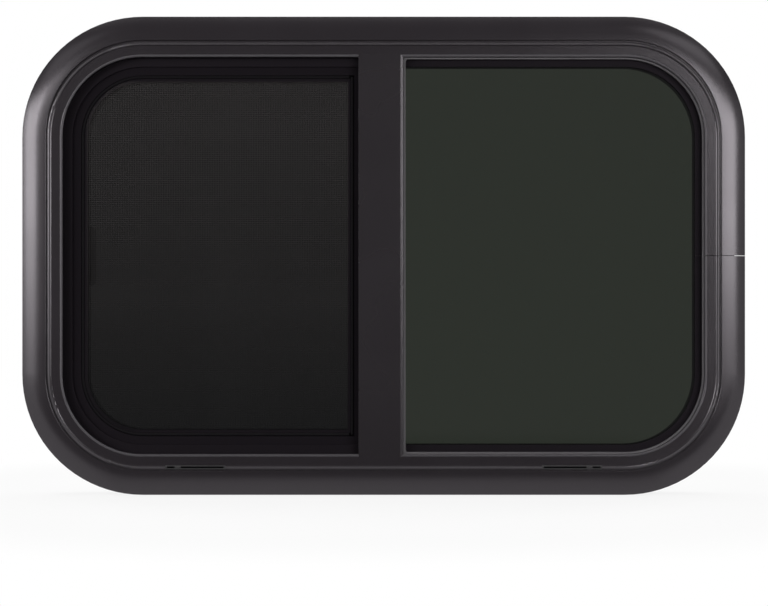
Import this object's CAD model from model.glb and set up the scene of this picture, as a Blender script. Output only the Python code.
import math

import bpy
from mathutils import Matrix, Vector


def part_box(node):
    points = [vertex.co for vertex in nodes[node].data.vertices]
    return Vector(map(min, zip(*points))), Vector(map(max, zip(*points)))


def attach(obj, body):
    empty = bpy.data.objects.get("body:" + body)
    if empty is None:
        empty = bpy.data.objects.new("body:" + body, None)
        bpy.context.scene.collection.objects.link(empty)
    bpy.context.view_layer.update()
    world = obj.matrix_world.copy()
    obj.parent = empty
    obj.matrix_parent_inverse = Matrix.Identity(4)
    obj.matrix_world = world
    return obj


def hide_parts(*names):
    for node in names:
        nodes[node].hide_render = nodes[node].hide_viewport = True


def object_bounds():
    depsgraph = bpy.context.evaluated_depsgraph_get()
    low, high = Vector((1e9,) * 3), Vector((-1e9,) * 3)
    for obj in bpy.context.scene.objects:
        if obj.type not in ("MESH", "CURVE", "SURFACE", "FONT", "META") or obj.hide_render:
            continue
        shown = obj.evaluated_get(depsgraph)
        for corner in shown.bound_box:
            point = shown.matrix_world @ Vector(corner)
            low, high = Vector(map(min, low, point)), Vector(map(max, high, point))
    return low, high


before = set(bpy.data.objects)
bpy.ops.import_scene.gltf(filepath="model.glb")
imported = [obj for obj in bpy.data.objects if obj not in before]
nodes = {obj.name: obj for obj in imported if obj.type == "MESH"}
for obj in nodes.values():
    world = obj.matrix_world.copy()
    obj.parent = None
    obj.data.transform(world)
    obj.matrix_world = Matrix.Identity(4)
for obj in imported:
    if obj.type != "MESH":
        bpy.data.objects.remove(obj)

cadLow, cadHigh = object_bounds()
mm = 0.001
inch = 25.4 * mm
quarterTurn = math.pi / 2
paleDust = (0.10, 0.096, 0.092)
print("frame loaded:", len(nodes), "nodes")


# Small helpers

def clearSelection():
    if bpy.context.mode != "OBJECT":
        bpy.ops.object.mode_set(mode="OBJECT")
    bpy.ops.object.select_all(action="DESELECT")


def pick(obj):
    clearSelection()
    obj.select_set(True)
    bpy.context.view_layer.objects.active = obj


def placeInMesh(obj):  # the place and turn go into the mesh, and the object stays at the origin
    pick(obj)
    bpy.ops.object.transform_apply(location=True, rotation=True, scale=True)


def applyModifiers(obj):
    pick(obj)
    for name in [m.name for m in obj.modifiers]:
        bpy.ops.object.modifier_apply(modifier=name)


def joinPieces(pieces, name):
    clearSelection()
    for piece in pieces:
        piece.select_set(True)
    bpy.context.view_layer.objects.active = pieces[0]
    bpy.ops.object.join()
    pieces[0].name = name
    pieces[0].data.name = name
    return pieces[0]


def enterEdit():
    bpy.ops.object.mode_set(mode="EDIT")


def leaveEdit():
    bpy.ops.object.mode_set(mode="OBJECT")


def selectNone(obj, kind):  # clears the selection of points, edges or faces
    pick(obj)
    enterEdit()
    bpy.ops.mesh.select_mode(type=kind)
    bpy.ops.mesh.select_all(action="DESELECT")
    leaveEdit()


def selectVerts(obj, rule):  # leaves the object in edit mode with the chosen points selected
    selectNone(obj, "VERT")
    for vert in obj.data.vertices:
        vert.select = rule(vert.co)
    enterEdit()


def selectEdges(obj, rule):  # the same with edges, by their two ends
    selectNone(obj, "EDGE")
    verts = obj.data.vertices
    for edge in obj.data.edges:
        edge.select = rule(verts[edge.vertices[0]].co, verts[edge.vertices[1]].co)
    enterEdit()


def selectFaces(obj, rule):  # and with faces, by centre and normal
    selectNone(obj, "FACE")
    for face in obj.data.polygons:
        face.select = rule(face.center, face.normal)
    enterEdit()


def selectAll():
    enterEdit()
    bpy.ops.mesh.select_all(action="SELECT")


def cutAway(obj, cutter):  # takes the cutter's shape out of the piece and removes the cutter
    cut = obj.modifiers.new("cut", "BOOLEAN")
    cut.operation = "DIFFERENCE"
    cut.object = cutter
    applyModifiers(obj)
    bpy.data.objects.remove(cutter)


def copyPiece(obj, name):
    twin = obj.copy()
    twin.data = obj.data.copy()
    twin.name = name
    twin.data.name = name
    bpy.context.scene.collection.objects.link(twin)
    return twin


def addCube(low, high):  # a block between two corners
    bpy.ops.mesh.primitive_cube_add(size=1, location=(low + high) / 2, scale=high - low)
    block = bpy.context.object
    placeInMesh(block)
    return block


def repeatAlong(obj, step, count):  # copies in a row, each one step from the last
    row = obj.modifiers.new("repeat", "ARRAY")
    row.use_relative_offset = False
    row.use_constant_offset = True
    row.constant_offset_displace = step
    row.count = count
    return row


def smoothShade(obj, degrees):
    pick(obj)
    bpy.ops.object.shade_smooth_by_angle(angle=math.radians(degrees))


def wear(obj, material):
    obj.data.materials.clear()
    obj.data.materials.append(material)


def finishPiece(obj, material, replaced):
    wear(obj, material)
    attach(obj, "root")
    if replaced:
        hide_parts(*replaced)


# Shader groups shared by the materials

def newGroup(name, inputs, outputs):
    tree = bpy.data.node_groups.new(name, "ShaderNodeTree")
    for socketName, socketType, value in inputs:
        socket = tree.interface.new_socket(name=socketName, in_out="INPUT", socket_type=socketType)
        socket.default_value = value
    for socketName, socketType in outputs:
        tree.interface.new_socket(name=socketName, in_out="OUTPUT", socket_type=socketType)
    return tree, tree.nodes.new("NodeGroupInput"), tree.nodes.new("NodeGroupOutput")


def mathNode(tree, operation, first, second=None, clamp=False):
    node = tree.nodes.new("ShaderNodeMath")
    node.operation = operation
    node.use_clamp = clamp
    for index, value in enumerate((first, second)):
        if value is None:
            continue
        if isinstance(value, (int, float)):
            node.inputs[index].default_value = value
        else:
            tree.links.new(value, node.inputs[index])
    return node.outputs[0]


def noiseNode(tree, coords, scale, detail, rough):
    node = tree.nodes.new("ShaderNodeTexNoise")
    node.inputs["Detail"].default_value = detail
    node.inputs["Roughness"].default_value = rough
    tree.links.new(coords, node.inputs["Vector"])
    if isinstance(scale, (int, float)):
        node.inputs["Scale"].default_value = scale
    else:
        tree.links.new(scale, node.inputs["Scale"])
    return node.outputs["Fac"]


def rangeNode(tree, value, low, high, outLow=0.0, outHigh=1.0):
    node = tree.nodes.new("ShaderNodeMapRange")
    node.interpolation_type = "SMOOTHSTEP"
    tree.links.new(value, node.inputs["Value"])
    for socket, number in (("From Min", low), ("From Max", high), ("To Min", outLow), ("To Max", outHigh)):
        node.inputs[socket].default_value = number
    return node.outputs["Result"]


def objectCoords(tree):
    return tree.nodes.new("ShaderNodeTexCoord").outputs["Object"]


def buildDrawnLines():  # fine lines that an extrusion die leaves, running round the frame
    tree, given, made = newGroup("drawnLines", [
        ("Half Width", "NodeSocketFloat", 0.3), ("Half Height", "NodeSocketFloat", 0.2),
        ("Corner Radius", "NodeSocketFloat", 0.095), ("Lines per Metre", "NodeSocketFloat", 900.0)],
        [("Height", "NodeSocketFloat"), ("Inset", "NodeSocketFloat")])
    split = tree.nodes.new("ShaderNodeSeparateXYZ")
    tree.links.new(objectCoords(tree), split.inputs[0])
    past = []
    for axis, half in (("X", "Half Width"), ("Z", "Half Height")):
        reach = mathNode(tree, "SUBTRACT", given.outputs[half], given.outputs["Corner Radius"])
        past.append(mathNode(tree, "SUBTRACT", mathNode(tree, "ABSOLUTE", split.outputs[axis]), reach))
    outside = [mathNode(tree, "MAXIMUM", value, 0.0) for value in past]
    squares = [mathNode(tree, "POWER", value, 2.0) for value in outside]
    bent = mathNode(tree, "SQRT", mathNode(tree, "ADD", *squares))
    inner = mathNode(tree, "MINIMUM", mathNode(tree, "MAXIMUM", past[0], past[1]), 0.0)
    distance = mathNode(tree, "ADD", bent, inner)
    inset = mathNode(tree, "SUBTRACT", given.outputs["Corner Radius"], distance)
    lines = tree.nodes.new("ShaderNodeTexNoise")
    lines.noise_dimensions = "1D"
    lines.inputs["Detail"].default_value = 3.0
    tree.links.new(inset, lines.inputs["W"])
    tree.links.new(given.outputs["Lines per Metre"], lines.inputs["Scale"])
    tree.links.new(lines.outputs["Fac"], made.inputs["Height"])
    tree.links.new(inset, made.inputs["Inset"])
    return tree


def buildCoatGrain():  # orange peel and fine tooth of a sprayed coat
    tree, given, made = newGroup("coatGrain", [
        ("Peel Scale", "NodeSocketFloat", 320.0), ("Tooth Scale", "NodeSocketFloat", 2600.0),
        ("Tooth Share", "NodeSocketFloat", 0.35)],
        [("Height", "NodeSocketFloat"), ("Mottle", "NodeSocketFloat")])
    coords = objectCoords(tree)
    peel = noiseNode(tree, coords, given.outputs["Peel Scale"], 2.0, 0.5)
    tooth = noiseNode(tree, coords, given.outputs["Tooth Scale"], 2.0, 0.6)
    share = mathNode(tree, "MULTIPLY", tooth, given.outputs["Tooth Share"])
    tree.links.new(mathNode(tree, "ADD", peel, share), made.inputs["Height"])
    mottle = noiseNode(tree, coords, 16.0, 2.0, 0.5)
    tree.links.new(mottle, made.inputs["Mottle"])
    return tree


def buildEdgeRub():  # where corners and edges have been rubbed
    tree, given, made = newGroup("edgeRub", [
        ("Radius", "NodeSocketFloat", 0.0006), ("Breakup Scale", "NodeSocketFloat", 240.0)],
        [("Mask", "NodeSocketFloat"), ("Normal", "NodeSocketVector")])
    bevel = tree.nodes.new("ShaderNodeBevel")
    bevel.samples = 4
    tree.links.new(given.outputs["Radius"], bevel.inputs["Radius"])
    facing = tree.nodes.new("ShaderNodeNewGeometry")
    dot = tree.nodes.new("ShaderNodeVectorMath")
    dot.operation = "DOT_PRODUCT"
    tree.links.new(bevel.outputs["Normal"], dot.inputs[0])
    tree.links.new(facing.outputs["Normal"], dot.inputs[1])
    bend = rangeNode(tree, mathNode(tree, "SUBTRACT", 1.0, dot.outputs["Value"]), 0.02, 0.2)
    broken = noiseNode(tree, objectCoords(tree), given.outputs["Breakup Scale"], 4.0, 0.6)
    rubbed = mathNode(tree, "MULTIPLY", bend, rangeNode(tree, broken, 0.42, 0.66))
    tree.links.new(rubbed, made.inputs["Mask"])
    tree.links.new(bevel.outputs["Normal"], made.inputs["Normal"])
    return tree


def buildDustFilm():  # settled dust on what faces up, and loose specks anywhere
    tree, given, made = newGroup("dustFilm", [
        ("Settled", "NodeSocketFloat", 0.3), ("Specks", "NodeSocketFloat", 0.3),
        ("Speck Scale", "NodeSocketFloat", 420.0)], [("Mask", "NodeSocketFloat")])
    coords = objectCoords(tree)
    facing = tree.nodes.new("ShaderNodeNewGeometry")
    split = tree.nodes.new("ShaderNodeSeparateXYZ")
    tree.links.new(facing.outputs["Normal"], split.inputs[0])
    up = rangeNode(tree, split.outputs["Z"], 0.25, 1.0)
    patches = noiseNode(tree, coords, 60.0, 6.0, 0.65)
    settled = mathNode(tree, "MULTIPLY", mathNode(tree, "MULTIPLY", up, patches), given.outputs["Settled"])
    cells = tree.nodes.new("ShaderNodeTexVoronoi")
    tree.links.new(coords, cells.inputs["Vector"])
    tree.links.new(given.outputs["Speck Scale"], cells.inputs["Scale"])
    dots = rangeNode(tree, cells.outputs["Distance"], 0.05, 0.12, 1.0, 0.0)
    chosen = tree.nodes.new("ShaderNodeSeparateColor")
    tree.links.new(cells.outputs["Color"], chosen.inputs[0])
    rare = mathNode(tree, "GREATER_THAN", chosen.outputs[0], 0.93)
    specks = mathNode(tree, "MULTIPLY", mathNode(tree, "MULTIPLY", dots, rare), given.outputs["Specks"])
    tree.links.new(mathNode(tree, "ADD", settled, specks, clamp=True), made.inputs["Mask"])
    return tree


drawnLines = buildDrawnLines()
coatGrain = buildCoatGrain()
edgeRub = buildEdgeRub()
dustFilm = buildDustFilm()


def groupNode(tree, group, **values):
    node = tree.nodes.new("ShaderNodeGroup")
    node.node_tree = group
    for key, value in values.items():
        node.inputs[key.replace("_", " ")].default_value = value
    return node


def mixColour(tree, factor, first, second):
    node = tree.nodes.new("ShaderNodeMix")
    node.data_type = "RGBA"
    tree.links.new(factor, node.inputs[0])
    for index, colour in ((6, first), (7, second)):
        if isinstance(colour, tuple):
            node.inputs[index].default_value = (*colour, 1.0)
        else:
            tree.links.new(colour, node.inputs[index])
    return node.outputs[2]


def bumpNode(tree, height, strength, distance, normal=None):
    node = tree.nodes.new("ShaderNodeBump")
    node.inputs["Strength"].default_value = strength
    node.inputs["Distance"].default_value = distance
    tree.links.new(height, node.inputs["Height"])
    if normal:
        tree.links.new(normal, node.inputs["Normal"])
    return node.outputs["Normal"]


def newMaterial(name):
    material = bpy.data.materials.new(name)
    material.use_nodes = True
    tree = material.node_tree
    shader = tree.nodes["Principled BSDF"]
    return material, tree, shader


# Materials

outline = {"halfWide": cadHigh.x, "halfHigh": cadHigh.z, "cornerRadius": 100 * mm}


def satinBlackCoat(name, colour, rub, roughLow, roughHigh, settled, lined=False):
    look = {"rubbed": (0.06, 0.058, 0.06), "dust": (0.10, 0.095, 0.09), "linesPerMetre": 1300.0,
            "sheen": (1.0, 0.94, 1.0), "lineDepth": 0.016 * mm, "grainDepth": 0.004 * mm,
            "rubRadius": 0.25 * mm, "specks": 0.22, "lining": (0.0155, 0.0130, 0.0158),
            "liningFrom": 34.05 * mm, "liningFade": 0.1 * mm, "liningRough": 0.7,
            "crownRough": 0.5, "crownFade": 0.5 * mm,
            "crowns": ((23.3 * mm, 0.7 * mm, (0.022, 0.020, 0.022)),
                       (33.1 * mm, 1.0 * mm, (0.031, 0.029, 0.032)))}
    material, tree, shader = newMaterial(name)
    lines = groupNode(tree, drawnLines, Half_Width=outline["halfWide"], Half_Height=outline["halfHigh"],
                      Corner_Radius=outline["cornerRadius"], Lines_per_Metre=look["linesPerMetre"])
    grain = groupNode(tree, coatGrain)
    worn = groupNode(tree, edgeRub, Radius=look["rubRadius"])
    dusty = groupNode(tree, dustFilm, Settled=settled, Specks=look["specks"])
    rubbed = mathNode(tree, "MULTIPLY", worn.outputs["Mask"], rub)
    base = mixColour(tree, rubbed, colour, look["rubbed"])
    base = mixColour(tree, dusty.outputs["Mask"], base, look["dust"])
    rough = rangeNode(tree, grain.outputs["Mottle"], 0.0, 1.0, roughLow, roughHigh)
    if lined:  # rims paled by wiping, and dull anodised metal inside the lip, where no coat was sprayed
        inset, fade = lines.outputs["Inset"], look["crownFade"] / 2
        for middle, half, pale in look["crowns"]:
            aside = mathNode(tree, "ABSOLUTE", mathNode(tree, "SUBTRACT", inset, middle))
            paled = rangeNode(tree, aside, half - fade, half + fade, 1.0, 0.0)
            base = mixColour(tree, paled, base, pale)
            rough = mathNode(tree, "MAXIMUM", rough, mathNode(tree, "MULTIPLY", paled, look["crownRough"]))
        inside = rangeNode(tree, inset, look["liningFrom"], look["liningFrom"] + look["liningFade"])
        base = mixColour(tree, inside, base, look["lining"])
        rough = mathNode(tree, "MAXIMUM", rough, mathNode(tree, "MULTIPLY", inside, look["liningRough"]))
        tree.links.new(inside, shader.inputs["Metallic"])
    tree.links.new(base, shader.inputs["Base Color"])
    tree.links.new(rough, shader.inputs["Roughness"])
    first = bumpNode(tree, lines.outputs["Height"], 1.0, look["lineDepth"], worn.outputs["Normal"])
    second = bumpNode(tree, grain.outputs["Height"], 1.0, look["grainDepth"], first)
    tree.links.new(second, shader.inputs["Normal"])
    shader.inputs["IOR"].default_value = 1.5
    shader.inputs["Specular Tint"].default_value = (*look["sheen"], 1.0)
    return material


def tintedGlass(name, tint):
    material, tree, shader = newMaterial(name)
    shader.inputs["Base Color"].default_value = (*tint, 1.0)
    shader.inputs["Transmission Weight"].default_value = 1.0
    shader.inputs["IOR"].default_value = 1.5
    smudge = noiseNode(tree, objectCoords(tree), 14.0, 4.0, 0.6)
    tree.links.new(rangeNode(tree, smudge, 0.4, 0.75, 0.0, 0.035), shader.inputs["Roughness"])
    return material


def softBlack(name, colour, roughLow, roughHigh, grainScale, grainDepth, specks=0.3, gloss=0.5):
    material, tree, shader = newMaterial(name)
    shader.inputs["Specular IOR Level"].default_value = gloss
    grain = groupNode(tree, coatGrain, Peel_Scale=grainScale, Tooth_Scale=grainScale * 5)
    dusty = groupNode(tree, dustFilm, Settled=0.06, Specks=specks)
    base = mixColour(tree, dusty.outputs["Mask"], colour, paleDust)
    tree.links.new(base, shader.inputs["Base Color"])
    rough = rangeNode(tree, grain.outputs["Mottle"], 0.0, 1.0, roughLow, roughHigh)
    tree.links.new(rough, shader.inputs["Roughness"])
    tree.links.new(bumpNode(tree, grain.outputs["Height"], 1.0, grainDepth), shader.inputs["Normal"])
    return material


def sunFadedStrand(name):  # coated strands, paler towards the top where sun and rain reach them
    look = {"faded": (0.037, 0.033, 0.033), "fresh": (0.0008, 0.0008, 0.0014),
            "top": 150 * mm, "bottom": -150 * mm}
    material, tree, shader = newMaterial(name)
    split = tree.nodes.new("ShaderNodeSeparateXYZ")
    tree.links.new(objectCoords(tree), split.inputs[0])
    height = tree.nodes.new("ShaderNodeMapRange")
    tree.links.new(split.outputs["Z"], height.inputs["Value"])
    height.inputs["From Min"].default_value = look["bottom"]
    height.inputs["From Max"].default_value = look["top"]
    patchy = noiseNode(tree, objectCoords(tree), 9.0, 3.0, 0.6)
    broken = rangeNode(tree, patchy, 0.2, 0.8, 0.85, 1.1)
    fade = mathNode(tree, "MULTIPLY", height.outputs["Result"], broken, clamp=True)
    tree.links.new(mixColour(tree, fade, look["fresh"], look["faded"]), shader.inputs["Base Color"])
    fine = noiseNode(tree, objectCoords(tree), 4000.0, 2.0, 0.5)
    tree.links.new(rangeNode(tree, fine, 0.2, 0.8, 0.45, 0.65), shader.inputs["Roughness"])
    shader.inputs["Specular IOR Level"].default_value = 0.12
    return material


def platedSteel(name, colour, roughLow, roughHigh, stain):
    look = {"rubbed": (0.86, 0.86, 0.86), "rubRadius": 0.2 * mm, "grainDepth": 0.006 * mm}
    material, tree, shader = newMaterial(name)
    grain = groupNode(tree, coatGrain, Peel_Scale=900.0, Tooth_Scale=5200.0)
    worn = groupNode(tree, edgeRub, Radius=look["rubRadius"])
    base = mixColour(tree, grain.outputs["Mottle"], colour, stain)
    base = mixColour(tree, worn.outputs["Mask"], base, look["rubbed"])
    tree.links.new(base, shader.inputs["Base Color"])
    rough = rangeNode(tree, grain.outputs["Mottle"], 0.0, 1.0, roughLow, roughHigh)
    tree.links.new(rough, shader.inputs["Roughness"])
    tree.links.new(bumpNode(tree, grain.outputs["Height"], 1.0, look["grainDepth"]), shader.inputs["Normal"])
    shader.inputs["Metallic"].default_value = 1.0
    return material


frameCoat = satinBlackCoat("satinBlackFrame", (0.0112, 0.0092, 0.0110), 0.4, 0.22, 0.28, 0.05, lined=True)
barCoat = satinBlackCoat("satinBlackBars", (0.0108, 0.0090, 0.0106), 0.4, 0.24, 0.30, 0.05)
clampCoat = satinBlackCoat("satinBlackClamp", (0.0112, 0.0092, 0.0110), 0.4, 0.24, 0.30, 0.05)
screenPaint = softBlack("screenBarPaint", (0.0050, 0.0036, 0.0052), 0.65, 0.75, 500.0, 0.004 * mm,
                        0.1, 0.06)
splineCord = softBlack("splineCord", (0.0034, 0.0028, 0.0036), 0.7, 0.8, 900.0, 0.01 * mm, 0.1, 0.08)
frontGlass = tintedGlass("tintedFixedPane", (0.0200, 0.0238, 0.0182))
slideGlass = tintedGlass("tintedSlidingPane", (0.0060, 0.0060, 0.0060))
sealRubber = softBlack("sealRubber", (0.010, 0.010, 0.010), 0.55, 0.75, 700.0, 0.03 * mm)
beadVinyl = softBlack("glazingVinyl", (0.090, 0.085, 0.090), 0.5, 0.65, 400.0, 0.01 * mm, 0.2, 0.12)
pileFibre = softBlack("sealPile", (0.012, 0.012, 0.012), 0.8, 0.95, 2500.0, 0.12 * mm)
coverPlastic = softBlack("weepCoverPlastic", (0.009, 0.008, 0.009), 0.45, 0.6, 900.0, 0.02 * mm)
latchPlastic = softBlack("latchPlastic", (0.016, 0.015, 0.016), 0.4, 0.55, 900.0, 0.03 * mm)
meshStrand = sunFadedStrand("meshStrand")
brightZinc = platedSteel("brightZinc", (0.62, 0.63, 0.66), 0.18, 0.34, (0.50, 0.51, 0.53))
plainSteel = platedSteel("plainSteel", (0.52, 0.52, 0.53), 0.3, 0.45, (0.42, 0.41, 0.40))
print("materials made")


# CAD nodes keep their shape and take these finishes

finishes = {
    "outer_frame": frameCoat, "mullion": barCoat, "sash_stile": barCoat, "clamp_ring": clampCoat,
    "joint_plate": plainSteel, "latch_keeper": plainSteel, "joint_rivets": plainSteel,
    "weep_cover_left": coverPlastic, "weep_cover_right": coverPlastic, "mullion_screws": brightZinc,
    "fixed_glass": frontGlass, "sliding_glass": slideGlass, "fixed_gasket": sealRubber,
    "glazing_bead": beadVinyl, "screen_frame": screenPaint, "screen_spline": splineCord,
    "track_liner": sealRubber, "meeting_seal": pileFibre, "latch_body": latchPlastic,
    "latch_lever": latchPlastic, "latch_tongue": brightZinc, "screen_mesh": meshStrand}
for name, node in nodes.items():
    wear(node, finishes.get(name, brightZinc))
print("frame nodes dressed")


# Insect screen: straight runs of strand, one set over and under the other

def weaveScreen():
    weave = {"pitchAcross": inch / 18, "pitchUp": inch / 16, "strand": 0.14 * mm,
             "wave": 0.10 * mm, "sides": 3, "weld": 0.02 * mm, "cornerRadius": 48.6 * mm}
    low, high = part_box("screen_mesh")
    middle = (low + high) / 2
    depth = high.y - weave["strand"]
    radius = weave["cornerRadius"]
    across = int((high.x - low.x) / weave["pitchAcross"]) // 2 * 2 - 1  # odd, to cross at the bends
    up = int((high.z - low.z) / weave["pitchUp"]) // 2 * 2 - 1

    def pastCorner(co):
        sideways = low.x + radius - co.x
        upward = abs(co.z) - (high.z - radius)
        if sideways <= 0 or upward <= 0:
            return False
        return math.hypot(sideways, upward) > radius

    for name, run, pitchAlong, pitchBeside, countAlong, countBeside in (
            ("screenWarp", "z", weave["pitchUp"], weave["pitchAcross"], up, across),
            ("screenWeft", "x", weave["pitchAcross"], weave["pitchUp"], across, up)):
        pair = []
        for side in (0, 1):
            bpy.ops.mesh.primitive_cylinder_add(vertices=weave["sides"], radius=weave["strand"],
                                                depth=pitchAlong, end_fill_type="NOTHING")
            strand = bpy.context.object
            stack = repeatAlong(strand, (0, 0, pitchAlong), countAlong)
            stack.use_merge_vertices = True
            stack.merge_threshold = weave["weld"]
            applyModifiers(strand)

            def overRing(co):
                return round(co.z / pitchAlong + 0.5) % 2 == side
            selectVerts(strand, overRing)
            bpy.ops.transform.translate(value=(0, -weave["wave"], 0))
            bpy.ops.mesh.select_all(action="INVERT")
            bpy.ops.transform.translate(value=(0, weave["wave"], 0))
            leaveEdit()
            strand.location = (side * pitchBeside, 0, 0)
            placeInMesh(strand)
            pair.append(strand)
        cloth = joinPieces(pair, name)
        repeatAlong(cloth, (2 * pitchBeside, 0, 0), countBeside // 2)
        applyModifiers(cloth)
        if run == "x":
            cloth.rotation_euler = (0, quarterTurn, 0)
            placeInMesh(cloth)
        corners = [Vector(corner) for corner in cloth.bound_box]
        centre = (min(c.x for c in corners) + max(c.x for c in corners)) / 2
        height = (min(c.z for c in corners) + max(c.z for c in corners)) / 2
        cloth.location = (middle.x - centre, depth, middle.z - height)
        placeInMesh(cloth)
        selectVerts(cloth, pastCorner)
        bpy.ops.mesh.delete(type="VERT")
        bpy.ops.mesh.select_all(action="SELECT")
        bpy.ops.mesh.fill_holes(sides=weave["sides"])
        leaveEdit()
        smoothShade(cloth, 70)
        finishPiece(cloth, meshStrand, ["screen_mesh"])
        print(name, "made:", len(cloth.data.polygons), "faces")


weaveScreen()


# Turned pieces: screws and rivets

def turnedPiece(name, rings, sides):  # a closed round piece along Z, drawn through (radius, height) rings
    clearSelection()
    radius, height = rings[0]
    bpy.ops.mesh.primitive_circle_add(vertices=sides, radius=radius, fill_type="NGON",
                                      location=(0, 0, height))
    piece = bpy.context.object
    piece.name = name
    placeInMesh(piece)
    selectAll()
    for (fromRadius, fromHeight), (toRadius, toHeight) in zip(rings, rings[1:]):
        bpy.ops.mesh.extrude_region_move(TRANSFORM_OT_translate={"value": (0, 0, toHeight - fromHeight)})
        share = toRadius / fromRadius
        bpy.ops.transform.resize(value=(share, share, 1))
    bpy.ops.mesh.select_all(action="SELECT")
    bpy.ops.mesh.normals_make_consistent(inside=False)
    leaveEdit()
    return piece


def domeRings(radius, wall, high, steps, top):  # an upright wall, then a quarter ellipse up to the flat top
    soft = 0.03  # share of the radius that the lower edge is eased by
    rings = [(radius * (1 - soft), 0.0), (radius, radius * soft), (radius, wall)]
    for step in range(1, steps + 1):
        angle = quarterTurn * step / steps
        rings.append((top + (radius - top) * math.cos(angle), wall + (high - wall) * math.sin(angle)))
    return rings


def crossCutter(reach, wide, top, deep):  # tapered arms of a cross recess
    taper = 0.55
    arms = []
    for turn in (0, quarterTurn):
        bpy.ops.mesh.primitive_cube_add(size=1, location=(0, 0, top - deep / 2), rotation=(0, 0, turn),
                                        scale=(2 * reach, wide, deep))
        arm = bpy.context.object
        placeInMesh(arm)
        selectVerts(arm, lambda co: co.z < top - deep / 2)
        bpy.ops.transform.resize(value=(taper, taper, 1), center_override=(0, 0, top - deep))
        leaveEdit()
        arms.append(arm)
    return arms


def crossScrew(name, size):  # head up, seat at height 0, thread below
    over, sunk, steps = 0.3 * mm, 0.15 * mm, 18
    head = turnedPiece(name, domeRings(size["head"] / 2, size["wall"], size["headHigh"], 7, size["flat"]), 40)
    for arm in crossCutter(size["recess"] / 2, size["slot"], size["headHigh"] + over, size["deep"] + over):
        cutAway(head, arm)
    core = size["core"] / 2
    tip = size["core"] * 1.2
    threadEnd = -size["length"] + tip
    shank = turnedPiece("shank", [(core, 0.02 * mm), (core, threadEnd), (core * 0.12, -size["length"])], 20)
    bpy.ops.mesh.primitive_circle_add(vertices=4, radius=size["crest"] / 2 - core + sunk,
                                      rotation=(quarterTurn, 0, 0), location=(core - sunk, 0, threadEnd))
    thread = bpy.context.object
    placeInMesh(thread)
    wind = thread.modifiers.new("wind", "SCREW")
    wind.screw_offset = size["pitch"]
    wind.iterations = int((size["length"] - tip - size["plain"]) / size["pitch"])
    wind.steps = steps
    wind.render_steps = steps
    wind.use_merge_vertices = False
    applyModifiers(thread)
    selectAll()
    bpy.ops.mesh.fill_holes(sides=4)
    bpy.ops.mesh.normals_make_consistent(inside=False)
    leaveEdit()
    screw = joinPieces([head, shank, thread], name)
    smoothShade(screw, 32)
    return screw


def driveClampScrews():
    size = {"head": 8 * mm, "headHigh": 3.05 * mm, "wall": 1.0 * mm, "flat": 2.2 * mm, "recess": 4.6 * mm,
            "slot": 1.1 * mm, "deep": 1.9 * mm, "core": 2.3 * mm, "crest": 3.1 * mm, "pitch": 1.1 * mm,
            "plain": 0.4 * mm, "length": 16 * mm, "turn": 1.7, "sunk": 0.05 * mm}
    first = crossScrew("clampScrew", size)
    for number in range(1, 13):
        node = "clamp_screw_%02d" % number
        low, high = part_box(node)
        screw = copyPiece(first, "clampScrew%02d" % number)
        screw.rotation_euler = (0, 0, number * size["turn"])  # each driven home to its own turn
        placeInMesh(screw)
        screw.rotation_euler = (-quarterTurn, 0, 0)
        seat = high.y - size["headHigh"] - size["sunk"]
        screw.location = ((low.x + high.x) / 2, seat, (low.z + high.z) / 2)
        placeInMesh(screw)
        finishPiece(screw, brightZinc, [node])
    bpy.data.objects.remove(first)
    print("clamp screws driven")


def driveMullionScrews():
    size = {"head": 6.2 * mm, "headHigh": 0.98 * mm, "wall": 0.25 * mm, "flat": 1.7 * mm, "recess": 3.6 * mm,
            "slot": 0.9 * mm, "deep": 0.8 * mm, "core": 2.2 * mm, "crest": 3.0 * mm, "pitch": 1.1 * mm,
            "plain": 3.0 * mm, "length": 25.5 * mm, "firstTurn": 0.6, "turn": 1.3, "sunk": 0.02 * mm}
    low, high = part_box("mullion_screws")
    first = crossScrew("mullionScrew", size)
    row = []
    for across in (low.x + size["head"] / 2, high.x - size["head"] / 2):
        for end, flip in ((high.z, 0), (low.z, math.pi)):
            screw = copyPiece(first, "mullionScrew%d" % len(row))
            screw.rotation_euler = (0, 0, size["firstTurn"] + len(row) * size["turn"])
            placeInMesh(screw)
            screw.rotation_euler = (flip, 0, 0)
            seat = end - math.copysign(size["headHigh"] + size["sunk"], end)
            screw.location = (across, (low.y + high.y) / 2, seat)
            placeInMesh(screw)
            row.append(screw)
    bpy.data.objects.remove(first)
    finishPiece(joinPieces(row, "mullionScrews"), brightZinc, ["mullion_screws"])
    print("mullion screws driven")


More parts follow.
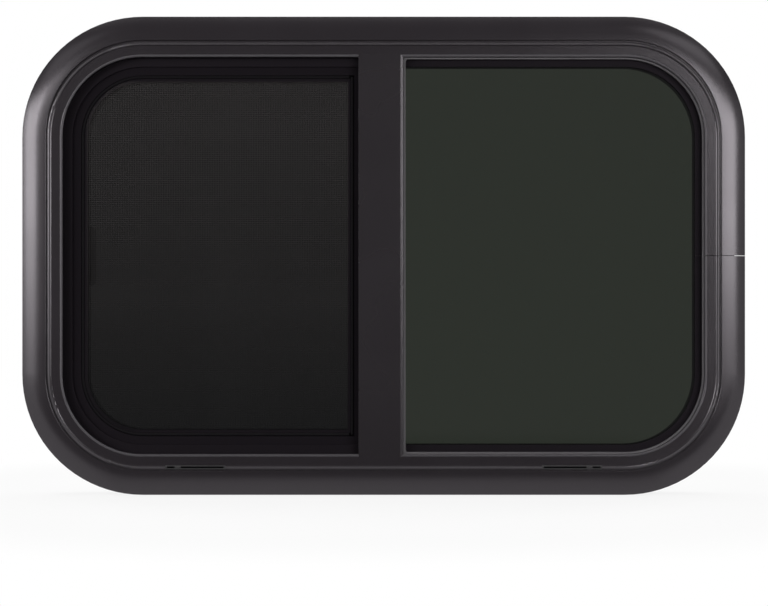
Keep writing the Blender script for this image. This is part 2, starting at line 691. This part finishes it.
def setRivets():
    rivet = {"head": 3.0 * mm, "headHigh": 0.6 * mm, "hole": 1.0 * mm, "holeDeep": 0.35 * mm,
             "shank": 1.6 * mm, "grip": 2.4 * mm, "tail": 2.2 * mm, "tailLong": 3.0 * mm,
             "places": (-18, -8, 8, 18)}
    low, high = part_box("joint_rivets")
    rings = [(rivet["tail"] * share, -rivet["grip"] - deep) for share, deep in (
        (0.3, rivet["tailLong"]), (0.75, 2.8 * mm), (1, 2.0 * mm), (1, 0.6 * mm))]
    rings += [(rivet["shank"], -rivet["grip"]), (rivet["shank"], 0.0)]
    rings += [(rivet["head"] * share, up) for share, up in (
        (0.98, 0.0), (1, 0.12 * mm), (0.93, 0.30 * mm), (0.76, 0.47 * mm))]
    rings += [(rivet["hole"] * share, rivet["headHigh"] - deep) for share, deep in (
        (1.35, 0.0), (1, 0.06 * mm), (0.96, rivet["holeDeep"]))]
    row = []
    for place in rivet["places"]:
        piece = turnedPiece("rivet", rings, 28)
        piece.rotation_euler = (0, quarterTurn, 0)
        piece.location = (high.x - rivet["headHigh"], (low.y + high.y) / 2, place * mm)
        placeInMesh(piece)
        row.append(piece)
    rivets = joinPieces(row, "jointRivets")
    smoothShade(rivets, 35)
    finishPiece(rivets, plainSteel, ["joint_rivets"])
    print("rivets set")


driveClampScrews()
driveMullionScrews()
setRivets()


# Latch of the sliding pane

def roundedBar(name, low, high, cornerRadius, rim, turns=7):  # a bar with round corners and a soft rim
    clearSelection()
    bar = addCube(low, high)
    bar.name = name
    selectEdges(bar, lambda a, b: abs(a.y - b.y) > (high.y - low.y) / 2)
    bpy.ops.mesh.bevel(offset=cornerRadius, segments=turns, affect="EDGES")
    leaveEdit()
    selectEdges(bar, lambda a, b: min(a.y, b.y) > high.y - 0.01 * mm)
    bpy.ops.mesh.bevel(offset=rim, segments=4, affect="EDGES")
    leaveEdit()
    return bar


def buildLatch():
    latch = {"bodyCorner": 5 * mm, "bodyRim": 1.2 * mm, "leverCorner": 4.5 * mm, "leverRim": 0.9 * mm,
             "leverHigh": 3.0 * mm, "ridgeWide": 2.2 * mm, "ridgeUp": 6.5 * mm, "ridgeIn": 1 * mm,
             "ridgeSunk": 0.4 * mm, "ridgeCorner": 0.9 * mm, "ridgeRim": 0.4 * mm,
             "grips": 5, "gripPitch": 1.7 * mm, "gripRadius": 0.45 * mm, "gripLong": 20 * mm,
             "gripFirst": 4.2 * mm, "dish": 0.5 * mm, "dishRim": 1.6 * mm,
             "slot": 5.1 * mm, "slotOver": 1 * mm, "slotGap": 0.1 * mm}
    low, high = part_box("latch_body")
    body = roundedBar("latchBody", low, high, latch["bodyCorner"], latch["bodyRim"])
    selectFaces(body, lambda centre, normal: normal.y > 0.99)
    bpy.ops.mesh.inset(thickness=latch["dishRim"])
    bpy.ops.transform.translate(value=(0, -latch["dish"], 0))
    leaveEdit()
    tongueLow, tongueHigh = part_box("latch_tongue")
    gap = latch["slotGap"]
    slotLow = Vector((low.x - latch["slotOver"], tongueLow.y - gap, -latch["slot"]))
    slotHigh = Vector((tongueHigh.x + gap, tongueHigh.y + gap, latch["slot"]))
    cutAway(body, addCube(slotLow, slotHigh))
    smoothShade(body, 35)
    finishPiece(body, latchPlastic, ["latch_body"])

    low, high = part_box("latch_lever")
    top = low.y + latch["leverHigh"]
    leverHigh = Vector((high.x, top, high.z))
    lever = roundedBar("latchLever", low, leverHigh, latch["leverCorner"], latch["leverRim"])
    for number in range(latch["grips"]):
        place = ((low.x + high.x) / 2, top, -high.z + latch["gripFirst"] + number * latch["gripPitch"])
        bpy.ops.mesh.primitive_cylinder_add(vertices=16, radius=latch["gripRadius"], depth=latch["gripLong"],
                                            location=place, rotation=(0, quarterTurn, 0))
        groove = bpy.context.object
        placeInMesh(groove)
        cutAway(lever, groove)
    ridgeLow = Vector((low.x + latch["ridgeIn"], top - latch["ridgeSunk"], latch["ridgeUp"]))
    ridgeHigh = Vector((high.x - latch["ridgeIn"], high.y, latch["ridgeUp"] + latch["ridgeWide"]))
    ridge = roundedBar("ridge", ridgeLow, ridgeHigh, latch["ridgeCorner"], latch["ridgeRim"], 4)
    fuse = lever.modifiers.new("fuse", "BOOLEAN")
    fuse.operation = "UNION"
    fuse.object = ridge
    applyModifiers(lever)
    bpy.data.objects.remove(ridge)
    smoothShade(lever, 35)
    finishPiece(lever, latchPlastic, ["latch_lever"])
    print("latch built")


buildLatch()


# Studio

def softbox(name, place, aim, size, power):
    bpy.ops.object.light_add(type="AREA", location=place)
    lamp = bpy.context.object
    lamp.name = name
    lamp.data.shape = "RECTANGLE"
    lamp.data.size, lamp.data.size_y = size
    lamp.data.energy = power
    lamp.rotation_euler = (Vector(aim) - Vector(place)).to_track_quat("-Z", "Y").to_euler()
    lamp.visible_camera = False
    lamp.visible_transmission = False
    return lamp


def setStudio():
    studio = {"floorSize": 14.0, "floorWhite": 0.55, "farFloor": 0.15, "worldGrey": 0.2, "shadowShare": 0.15,
              "shadowReach": (0.3, 0.6), "glossNear": 1.0, "glossFar": 0.07, "glossReach": (0.0, 0.08),
              "glossBeside": 0.23, "skyReach": (0.4, 1.1)}
    softbox("boxRight", (1.04, -1.31, 0.22), (-0.08, 0, 0.0), (0.94, 0.50), 14.9)
    softbox("boxRightFar", (1.40, -0.78, 0.28), (0.1, 0, 0.0), (0.77, 0.62), 1.0)
    softbox("boxLeft", (-1.44, -0.95, 0.28), (-0.05, 0, 0.0), (0.90, 0.62), 18)
    softbox("boxLeftNear", (-0.96, -1.28, 0.28), (-0.1, 0, 0.0), (0.50, 0.62), 1.3)
    softbox("boxLeftInner", (-1.04, -1.38, 0.49), (-0.25, 0, 0.12), (0.66, 0.18), 2.0)
    softbox("boxRightInner", (0.63, -1.5, 0.40), (0.22, 0, 0.13), (0.22, 0.16), 1.0)
    softbox("boxLeftHigh", (-1.15, -1.0, 1.05), (-0.2, 0, 0.1), (0.9, 0.5), 1.2)
    softbox("boxRightHigh", (0.95, -1.0, 1.05), (0.2, 0, 0.1), (0.9, 0.5), 2.6)
    softbox("boxTop", (0.0, 0.35, 1.4), (0.0, 0.2, -0.2), (1.8, 1.3), 30)
    softbox("backRight", (1.5, 1.5, 0.6), (0, 0, 0), (0.9, 0.9), 20)
    softbox("backLeft", (-1.5, 1.6, 0.7), (0, 0, 0), (0.9, 0.9), 20)
    bpy.ops.mesh.primitive_plane_add(size=studio["floorSize"], location=(0, 0, cadLow.z))
    floor = bpy.context.object
    floor.name = "floor"
    placeInMesh(floor)
    material, tree, shader = newMaterial("studioFloor")
    shader.inputs["Roughness"].default_value = 0.9
    shader.inputs["Specular IOR Level"].default_value = 0.1
    away = tree.nodes.new("ShaderNodeVectorMath")
    away.operation = "LENGTH"
    tree.links.new(objectCoords(tree), away.inputs[0])
    pale = mixColour(tree, rangeNode(tree, away.outputs["Value"], *studio["shadowReach"]),
                     (studio["floorWhite"],) * 3, (studio["farFloor"],) * 3)
    tree.links.new(pale, shader.inputs["Base Color"])
    far = rangeNode(tree, away.outputs["Value"], *studio["shadowReach"], 1 - studio["shadowShare"], 1.0)
    split = tree.nodes.new("ShaderNodeSeparateXYZ")
    tree.links.new(objectCoords(tree), split.inputs[0])
    beside = mathNode(tree, "SUBTRACT", mathNode(tree, "ABSOLUTE", split.outputs["X"]), studio["glossBeside"])
    ahead = mathNode(tree, "SUBTRACT", mathNode(tree, "ABSOLUTE", split.outputs["Y"]),
                     mathNode(tree, "MAXIMUM", beside, 0.0))
    near = rangeNode(tree, ahead, *studio["glossReach"], studio["glossNear"], studio["glossFar"])
    skyward = rangeNode(tree, away.outputs["Value"], *studio["skyReach"], 0.0, studio["worldGrey"])
    near = mathNode(tree, "MAXIMUM", near, skyward)
    path = tree.nodes.new("ShaderNodeLightPath")
    through = path.outputs["Is Transmission Ray"]
    mirrored = mathNode(tree, "SUBTRACT", path.outputs["Is Glossy Ray"], through, clamp=True)
    seen = mathNode(tree, "MULTIPLY", far, path.outputs["Is Camera Ray"])
    seen = mathNode(tree, "MAXIMUM", mathNode(tree, "MAXIMUM", seen, mirrored), through)
    white = tree.nodes.new("ShaderNodeEmission")
    dimmer = mathNode(tree, "MULTIPLY", mirrored, mathNode(tree, "SUBTRACT", 1.0, near))
    tree.links.new(mathNode(tree, "SUBTRACT", 1.0, dimmer), white.inputs["Strength"])
    mix = tree.nodes.new("ShaderNodeMixShader")
    tree.links.new(seen, mix.inputs[0])
    tree.links.new(shader.outputs[0], mix.inputs[1])
    tree.links.new(white.outputs[0], mix.inputs[2])
    tree.links.new(mix.outputs[0], tree.nodes["Material Output"].inputs["Surface"])
    wear(floor, material)

    world = bpy.data.worlds.new("studioWorld")
    bpy.context.scene.world = world
    world.use_nodes = True
    tree = world.node_tree
    back = tree.nodes["Background"]
    path = tree.nodes.new("ShaderNodeLightPath")
    shown = mathNode(tree, "MAXIMUM", path.outputs["Is Transmission Ray"], path.outputs["Is Camera Ray"])
    grey = (studio["worldGrey"],) * 3
    tree.links.new(mixColour(tree, shown, grey, (1.0, 1.0, 1.0)), back.inputs["Color"])
    print("studio set")


def setCamera():
    view = {"distance": 2.0, "pixelSize": 0.8307 * mm, "pixelsWide": 768, "pixelsHigh": 606,
            "centre": (383.65, 255.8), "sensor": 36}
    across = (view["pixelsWide"] / 2 - view["centre"][0]) * view["pixelSize"]
    down = (view["pixelsHigh"] / 2 - view["centre"][1]) * view["pixelSize"]
    bpy.ops.object.camera_add(location=(across, -view["distance"], -down), rotation=(quarterTurn, 0, 0))
    camera = bpy.context.object
    camera.data.sensor_width = view["sensor"]
    camera.data.lens = view["sensor"] * view["distance"] / (view["pixelsWide"] * view["pixelSize"])
    bpy.context.scene.camera = camera
    print("camera set, lens", round(camera.data.lens, 1))


setStudio()
setCamera()
bpy.context.scene.view_settings.view_transform = "Standard"
